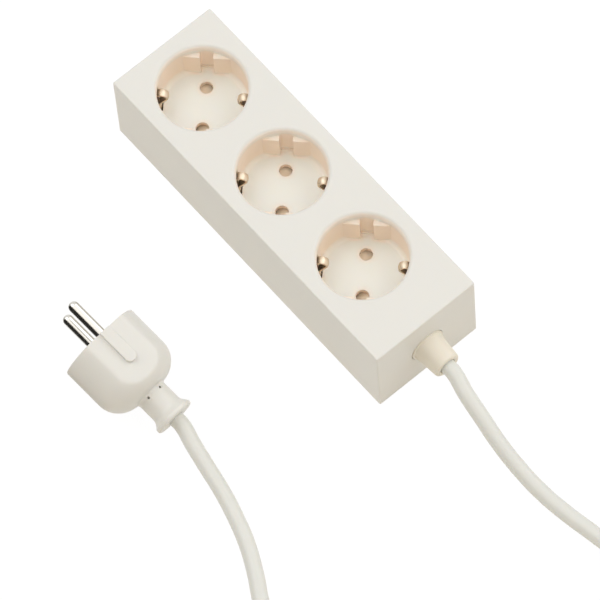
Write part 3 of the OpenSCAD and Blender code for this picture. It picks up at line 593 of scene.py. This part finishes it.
# An earth clip is a strip bent up from under the well on both sides of it. Its foot, bend, nose,
# crest and tip are given as (out, up), and its nose and crest get their radius from the sizes.
CLIP_HALF = [(18.1, 15.7), (18.1, 29.3), (14.0, 35.0), (16.9, 38.1), (19.6, 36.4)]
CLIP_THICKNESS, CLIP_WIDTH, CLIP_ANGLE = 0.8, 3.4, 45
CLIP_FOOT_RADIUS, CLIP_BEND_RADIUS, CLIP_STEPS = 1.2, 3, 10


def plug_place():
    """Matrix from the plug's own millimetres to the strip's."""
    roll, pitch, heading = (math.radians(a) for a in PLUG_TURN)
    return (Matrix.Translation(PLUG_ORIGIN) @ Matrix.Rotation(heading, 4, "Z")
            @ Matrix.Rotation(pitch, 4, "Y") @ Matrix.Rotation(roll, 4, "X"))


def coil_point(turn):
    """Point of the coil's middle line, turn being counted from its inmost place."""
    half = COIL_TURNS / 2
    r, a = COIL_RADIUS + COIL_STEP * abs(turn), -2 * math.pi * (turn + half)
    s = min(max(turn / CLIMB + 0.5, 0), 1)
    return (COIL_MIDDLE[0] + r * math.cos(a), COIL_MIDDLE[1] + r * math.sin(a),
            COIL_LOW + (COIL_HIGH - COIL_LOW) * s * s * (3 - 2 * s))


# The camera at the photograph's viewing angle: its place in metres, its right, up and back
# directions, its sensor in millimetres and how far it sees in metres.
CAMERA_PLACE = (1.0256996, -0.7250671, 2.6144967)
CAMERA_AXES = ((0.64602325, 0.76218711, -0.04153048),
               (-0.68025523, 0.59955357, 0.42164954),
               (0.34627559, -0.24414408, 0.90580731))
SENSOR, SIGHT = 36, 100

# The paper floor in metres: reach, cells across, and how far it lies under the strip.
FLOOR_REACH, FLOOR_CELLS, FLOOR_DROP = 14, 8, 0.0004
# The paper's colour to the light; to the eye, its share of the light on it and its own white.
PAPER, PAPER_SHADE, PAPER_GLOW = "#EFE9DD", 0.08, 0.955
# Colour and strength of the room's light.
ROOM_TINT, ROOM_STRENGTH = (1.0, 0.97, 0.93), 0.37

# Width of a soft box in metres, the point that it looks at, and the light of a white and a warm one.
LAMP_SIZE, LAMP_TARGET = 2.6, (0.03, -0.03, 0.02)
WHITE, WARM = (1.0, 1.0, 1.0), (1.0, 0.83, 0.62)
# Name, place in metres, power in watts and light of each soft box.
LAMPS = [("Overhead", (0.0, 0.0, 3.0), 9.6, WHITE),
         ("Left", (-1.5, -0.95, 2.4), 29.5, WHITE),
         ("Right", (0.8, 2.15, 1.95), 32.5, WHITE),
         ("Front", (0.0, -2.1, 2.0), 5.4, WARM),
         ("Near end", (2.15, -0.3, 2.0), 13.4, WARM)]

# Corners in metres of the black cards that the pins reflect, how far they are lowered, and their grey.
CARDS = {"black_card_upright": [(-0.7, -0.6, 0), (0.7, -0.6, 0), (0.7, -0.6, 0.55), (-0.7, -0.6, 0.55)],
         "black_card_flat": [(-0.7, -0.6, 0), (0.05, -0.6, 0), (0.02, -0.122, 0), (-0.7, -0.122, 0)]}
CARD_DROP, CARD_GREY = 0.0002, 0.01


class STRIP_OT_stage(bpy.types.Operator):
    """Sets up the camera, the pale floor and the soft studio light"""
    bl_idname = "strip.stage"
    bl_label = "Stage"

    def execute(self, context):
        scene = context.scene
        scene.view_settings.view_transform = "Standard"
        camera = bpy.data.objects.new("Camera", bpy.data.cameras.new("Camera"))
        camera.data.lens = scene.strip_sizes.lens
        camera.data.sensor_width = SENSOR
        camera.data.clip_end = SIGHT
        turn = Matrix(CAMERA_AXES).transposed().to_4x4()
        camera.matrix_world = Matrix.Translation(CAMERA_PLACE) @ turn
        scene.collection.objects.link(camera)
        scene.camera = camera

        floor = bpy.data.meshes.new("Floor")
        work = bmesh.new()
        bmesh.ops.create_grid(work, x_segments=FLOOR_CELLS, y_segments=FLOOR_CELLS, size=FLOOR_REACH)
        work.to_mesh(floor)
        work.free()
        ground = bpy.data.objects.new("Floor", floor)
        ground.location.z = -FLOOR_DROP
        scene.collection.objects.link(ground)
        floor.materials.append(self.paper())

        self.sky(scene)
        for name, place, power, tint in LAMPS:
            self.lamp(scene, name, place, power, tint)
        for name, corners in CARDS.items():
            self.card(scene, name, corners)
        return {"FINISHED"}

    @staticmethod
    def card(scene, name, corners):
        """A black card that only reflections see: it gives bright metal its dark side."""
        mesh = bpy.data.meshes.new(name)
        mesh.from_pydata([Vector(c) - Vector((0, 0, CARD_DROP)) for c in corners], [], [(0, 1, 2, 3)])
        black = bpy.data.materials.get("Black card") or bpy.data.materials.new("Black card")
        black.use_nodes = True
        skin = black.node_tree.nodes["Principled BSDF"].inputs
        skin["Base Color"].default_value = (CARD_GREY, CARD_GREY, CARD_GREY, 1)
        skin["Roughness"].default_value = 1.0
        mesh.materials.append(black)
        board = bpy.data.objects.new(name, mesh)
        board.visible_camera = board.visible_diffuse = board.visible_shadow = False
        board.visible_transmission = board.visible_volume_scatter = False
        scene.collection.objects.link(board)

    @staticmethod
    def seen(tree):
        """Socket that is 1 where the camera or a reflection sees the backdrop, or glass would."""
        path = add(tree, "ShaderNodeLightPath").outputs
        both = add(tree, "ShaderNodeMath", {0: path["Is Camera Ray"], 1: path["Is Glossy Ray"]},
                   operation="MAXIMUM").outputs[0]
        return add(tree, "ShaderNodeMath", {0: both, 1: path["Is Transmission Ray"]},
                   operation="MAXIMUM").outputs[0]

    def paper(self):
        """White paper sweep: white to the eye, with the faint shadow of what lies on it."""
        made, tree = blank("Paper backdrop")
        sheet = add(tree, "ShaderNodeBsdfDiffuse", {"Color": (*linear(PAPER), 1)})
        thin = add(tree, "ShaderNodeBsdfDiffuse", {"Color": (PAPER_SHADE, PAPER_SHADE, PAPER_SHADE, 1)})
        glow = add(tree, "ShaderNodeEmission", {"Color": (1, 1, 1, 1), "Strength": PAPER_GLOW})
        white = add(tree, "ShaderNodeAddShader", {0: thin.outputs[0], 1: glow.outputs[0]})
        both = add(tree, "ShaderNodeMixShader", {
            0: self.seen(tree), 1: sheet.outputs[0], 2: white.outputs[0]})
        add(tree, "ShaderNodeOutputMaterial", {"Surface": both.outputs[0]})
        return made

    def sky(self, scene):
        """Even room light from all round, white behind the object."""
        scene.world = bpy.data.worlds.new("Studio")
        scene.world.use_nodes = True
        tree = scene.world.node_tree
        tree.nodes.clear()
        room = add(tree, "ShaderNodeBackground", {"Color": (*ROOM_TINT, 1), "Strength": ROOM_STRENGTH})
        white = add(tree, "ShaderNodeBackground", {"Color": (1, 1, 1, 1), "Strength": 1.0})
        both = add(tree, "ShaderNodeMixShader", {
            0: self.seen(tree), 1: room.outputs[0], 2: white.outputs[0]})
        add(tree, "ShaderNodeOutputWorld", {"Surface": both.outputs[0]})

    @staticmethod
    def lamp(scene, name, place, power, tint):
        """A square soft box that looks at the middle of the object."""
        light = bpy.data.lights.new(name, "AREA")
        light.shape, light.size, light.energy, light.color = "SQUARE", LAMP_SIZE, power, tint
        hung = bpy.data.objects.new(name, light)
        hung.location = place
        aim = Vector(LAMP_TARGET) - Vector(place)
        hung.rotation_euler = aim.to_track_quat("-Z", "Y").to_euler()
        scene.collection.objects.link(hung)


class STRIP_OT_cord(bpy.types.Operator):
    """Lays the cord from the collar round its coil to the plug"""
    bl_idname = "strip.cord"
    bl_label = "Cord"

    def execute(self, context):
        sizes = context.scene.strip_sizes
        half, rings = COIL_TURNS / 2, round(COIL_TURNS * TURN_POINTS)
        coil = [coil_point(-half + COIL_TURNS * i / rings) for i in range(rings + 1)]
        plug_way = plug_place().to_3x3() @ Vector((1, 0, 0))
        plug_exit = plug_place() @ Vector((PLUG_END, 0, 0))
        start = Vector(coil[0]) + Vector((0, 2 * CORD_RADIUS, 0))
        end = Vector(coil[-1]) - Vector((2 * CORD_RADIUS, 0, 0))
        line = [*STRIP_ROUTE, start, *coil, end, end - Vector((2 * CORD_RADIUS, 0, 0)), *PLUG_ROUTE,
                plug_exit + CORD_RADIUS * plug_way, plug_exit]
        curve = bpy.data.curves.new("Cord", "CURVE")
        curve.dimensions = "3D"
        curve.bevel_depth = sizes.cord / 2
        curve.bevel_resolution = 7
        curve.resolution_u = 6
        curve.use_fill_caps = True
        spline = curve.splines.new("BEZIER")
        spline.bezier_points.add(len(line) - 1)
        for knot, p in zip(spline.bezier_points, line):
            knot.co = Vector(p) * MM
            knot.handle_left_type = knot.handle_right_type = "AUTO"
        cord = bpy.data.objects.new("cord_jacket", curve)
        context.scene.collection.objects.link(cord)
        curve.materials.append(pvc_cord())
        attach(cord, "strip")
        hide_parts("cord_strip_side", "cord_coil", "cord_plug_side")
        loops = joined(*(self.tie(angle) for angle in TIE_ANGLES))
        straps = piece("cord_straps", loops, nylon_tie(), ("cord_ties",))
        on_cord = [straps] + [bpy.data.objects[name] for name in CORD_PIECES]
        on_cord += [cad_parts[name] for name in CORD_INSIDES]
        dress(pvc_cord(), "cord_sheath_end", "plug_sheath_end")
        return {"FINISHED"}

    @staticmethod
    def tie(angle):
        """A strap round the turns of the coil at one angle, with its free end laid over it."""
        turns = [k + 1 - angle / 360 - COIL_TURNS / 2 for k in range(math.ceil(COIL_TURNS))]
        radii = [COIL_RADIUS + COIL_STEP * abs(u) for u in turns if u < COIL_TURNS / 2]
        room = CORD_RADIUS + TIE_PLAY + TIE_THICKNESS / 2
        inner, outer = min(radii) - room, max(radii) + room
        low, high = COIL_LOW - room, COIL_HIGH + room
        line = soften([(inner, low), (outer, low), (outer, high), (inner, high)], room, closed=True)
        loop = bent_strip(line, TIE_THICKNESS, TIE_WIDTH, closed=True)
        over = high + TIE_THICKNESS
        tail = soften([(inner + TIE_START, over), (outer - room, over),
                       (outer + TIE_THICKNESS, high - room + TIE_STOP)], room)
        end = bent_strip(tail, TIE_THICKNESS, TIE_WIDTH)
        turn = Matrix.Rotation(math.radians(angle), 4, "Z")
        return placed(joined(loop, end), Matrix.Translation((*COIL_MIDDLE, 0)) @ turn)


class STRIP_OT_case(bpy.types.Operator):
    """Finishes the case, its base plate and its screws"""
    bl_idname = "strip.case"
    bl_label = "Case"

    def execute(self, context):
        dress(abs_case(), "top_case", "base_plate")
        dress(zinc_screw(), "pivot_screws", "clamp_screws")
        dress(polyamide_inner(), "cord_clamp")
        low, high = (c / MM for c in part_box("base_screws"))
        head = SCREW_HEAD_RADIUS
        rows = (low.x + head, (SOCKETS[1] + SOCKETS[2]) / 2, high.x - head)
        screw = cross_screw(head, SCREW_HEAD, SCREW_SHANK_RADIUS, SCREW_SHANK, SCREW_ARM, SCREW_RECESS)
        screws = [placed(screw, Matrix.Translation((x, y, low.z)))
                  for x in rows for y in (low.y + head, high.y - head)]
        piece("case_screws", joined(*screws), zinc_screw(), ("base_screws",), sharp=30)
        return {"FINISHED"}


class STRIP_OT_sockets(bpy.types.Operator):
    """Finishes the wells, shutters and springs and bends the earth clips"""
    bl_idname = "strip.sockets"
    bl_label = "Sockets"

    def execute(self, context):
        for i in (1, 2, 3):
            dress(polyamide_well(), f"socket_insert_{i}")
            dress(acetal_shutter(), f"shutter_{i}")
            dress(spring_wire(), f"shutter_spring_{i}")
            clip = self.clip(context.scene.strip_sizes, SOCKETS[i - 1])
            piece(f"earth_spring_{i}", clip, brass_clip(), (f"earth_clip_{i}",))
        return {"FINISHED"}

    @staticmethod
    def clip(sizes, x):
        """An earth clip: a crowned strip under the well that bows inwards on both sides of it."""
        corners = [(-out, up) for out, up in reversed(CLIP_HALF)] + CLIP_HALF
        nose = sizes.nose / MM
        radii = [CLIP_FOOT_RADIUS, CLIP_BEND_RADIUS, nose, nose, 0]
        line = soften(corners, radii[::-1] + radii, CLIP_STEPS)
        strip = bent_strip(line, CLIP_THICKNESS, CLIP_WIDTH, sizes.crown / MM)
        turn = Matrix.Rotation(math.radians(CLIP_ANGLE), 4, "Z")
        return placed(strip, Matrix.Translation((x, 0, 0)) @ turn)


class STRIP_OT_contacts(bpy.types.Operator):
    """Finishes the rails, crimps and wires inside the case"""
    bl_idname = "strip.contacts"
    bl_label = "Contacts"

    def execute(self, context):
        dress(brass_rail(), "earth_bar", "line_bar", "neutral_bar", "wire_crimps", "plug_earth_strap")
        for core, (shade, code) in CORES.items():
            dress(pvc_core(shade, code), f"{core}_wire", f"plug_{core}_wire")
        return {"FINISHED"}


class STRIP_OT_collar(bpy.types.Operator):
    """Turns the tapered collar where the cord leaves the case"""
    bl_idname = "strip.collar"
    bl_label = "Collar"

    def execute(self, context):
        root, tip = (c.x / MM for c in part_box("cord_gland"))
        flange, ring, taper, end, bore = COLLAR_RADII
        behind, out = root + COLLAR_FLANGE, END + COLLAR_RING
        corners = [(root, bore), (root, flange), (behind, flange), (behind, ring), (out, ring),
                   (out, taper), (tip, end), (tip, bore + COLLAR_MOUTH), (tip - COLLAR_MOUTH_DEPTH, bore)]
        profile = [tuple(p) for p in soften(corners, COLLAR_EDGES, closed=True)]
        height = Matrix.Translation((0, 0, STRIP_ROUTE[0][2]))
        collar = placed(turned(profile, COLLAR_SEGMENTS, closed=True), height)
        piece("cord_collar", collar, pvc_collar(), ("cord_gland",))
        return {"FINISHED"}


class STRIP_OT_plug(bpy.types.Operator):
    """Shapes the plug's body, sleeve and pins"""
    bl_idname = "strip.plug"
    bl_label = "Plug"

    def execute(self, context):
        place = plug_place()
        piece("plug_shell", placed(self.body(), place), pvc_plug(), ("plug_body",))
        neck = self.neck(context.scene.strip_sizes.pit / MM)
        piece("plug_neck", placed(neck, place), pvc_plug(), ("plug_sleeve",))
        for name, up in (("line", PIN_OUT), ("neutral", -PIN_OUT)):
            pin = placed(self.pin(), place @ Matrix.Translation((0, 0, up)))
            piece(f"pin_{name}", pin, nickel_pin(), (f"plug_pin_{name}",))
        dress(polyamide_inner(), "plug_core")
        return {"FINISHED"}

    @staticmethod
    def body():
        """The round body with two flats, a domed rear and a guide key on each flat."""
        profile = [(CORE_DEPTH, CORE_RADIUS), (CORE_EDGE, CORE_RADIUS), (0, CORE_RADIUS + CORE_EDGE)]
        profile += arc((PLUG_EDGE, PLUG_RADIUS - PLUG_EDGE), PLUG_EDGE, 180, 90, 4)
        profile += [(x, PLUG_RADIUS) for x in SIDE_ROWS]
        profile += arc((DOME_X, PLUG_RADIUS - DOME_RADIUS), DOME_RADIUS, 90, 5, 24)
        profile += [(NECK_FILLET_X - DOME_BACK, NECK_RADIUS - DOME_LAP)]
        half = KEY_WIDTH / 2
        plan = [(0, -half), *arc((KEY_LENGTH - half, 0), half, -90, 90, 20), (0, half)]
        key = raised([Vector(p) for p in plan], PLUG_FLAT - KEY_SINK, KEY_TOP, KEY_EDGE)
        lower_key = placed(key, Matrix.Rotation(math.pi, 4, "X"))
        return joined(turned(profile, BODY_SEGMENTS, closed=True, flat=PLUG_FLAT), key, lower_key)

    @staticmethod
    def neck(pit):
        """The neck behind the body, with four small pits and a flared end round the cord."""
        fillet = (NECK_FILLET_X, NECK_RADIUS + NECK_FILLET)
        start, bore = NECK_FILLET_X - NECK_SINK, CORD_RADIUS + NECK_PLAY
        root = [(start, NECK_RADIUS + NECK_LIFT), *arc(fillet, NECK_FILLET, 185, 252, 5)]
        first = len(root) - 1
        root.append(arc(fillet, NECK_FILLET, 268, 270, 1)[0])
        root += [(NECK_FILLET_X + x, NECK_RADIUS) for x in PIT_ROWS]
        corners = [root[-1], (FLARE_START, NECK_RADIUS), (FLARE_END, FLANGE_RADIUS),
                   (PLUG_END, FLANGE_RADIUS), (PLUG_END, bore), (start, bore)]
        flare = soften(corners, [0, FLARE_ROUND, FLANGE_EDGE, FLANGE_EDGE, BORE_EDGE, 0])
        pits = [(first, column, pit, PIT_DEPTH) for column in PIT_COLUMNS]
        return turned(root + [tuple(p) for p in flare[1:]], NECK_SEGMENTS, closed=True, pits=pits)

    @staticmethod
    def pin():
        """A pin with a round tip and the thinner tail that its core holds."""
        profile = arc((PIN_RADIUS - PIN_LENGTH, 0), PIN_RADIUS, 178, 90, 14)
        profile += [(0, PIN_RADIUS), (0, PIN_TAIL_RADIUS), (PIN_TAIL, PIN_TAIL_RADIUS)]
        return turned(profile, PIN_SEGMENTS)


class STRIP_PT_panel(bpy.types.Panel):
    """Lists the pieces of the power strip"""
    bl_idname = "STRIP_PT_panel"
    bl_label = "Power Strip"
    bl_space_type = "VIEW_3D"
    bl_region_type = "UI"
    bl_category = "Power Strip"

    def draw(self, context):
        column = self.layout.column()
        for operator in OPERATORS:
            column.operator(operator.bl_idname)
        for group in (context.scene.strip_sizes, context.scene.strip_colours):
            for name in group.bl_rna.properties.keys():
                if name not in ("rna_type", "name"):
                    column.prop(group, name)


OPERATORS = (STRIP_OT_stage, STRIP_OT_plug, STRIP_OT_collar, STRIP_OT_cord, STRIP_OT_case,
             STRIP_OT_sockets, STRIP_OT_contacts)
CLASSES = (StripColours, StripSizes, *OPERATORS, STRIP_PT_panel)


def register():
    for kind in CLASSES:
        bpy.utils.register_class(kind)
    bpy.types.Scene.strip_colours = PointerProperty(type=StripColours)
    bpy.types.Scene.strip_sizes = PointerProperty(type=StripSizes)


def unregister():
    del bpy.types.Scene.strip_sizes
    del bpy.types.Scene.strip_colours
    for kind in reversed(CLASSES):
        bpy.utils.unregister_class(kind)


def main():
    """Makes every piece in order."""
    register()
    bpy.ops.strip.stage()
    bpy.ops.strip.plug()
    bpy.ops.strip.collar()
    bpy.ops.strip.cord()
    bpy.ops.strip.case()
    bpy.ops.strip.sockets()
    bpy.ops.strip.contacts()


if __name__ == "__main__":
    main()
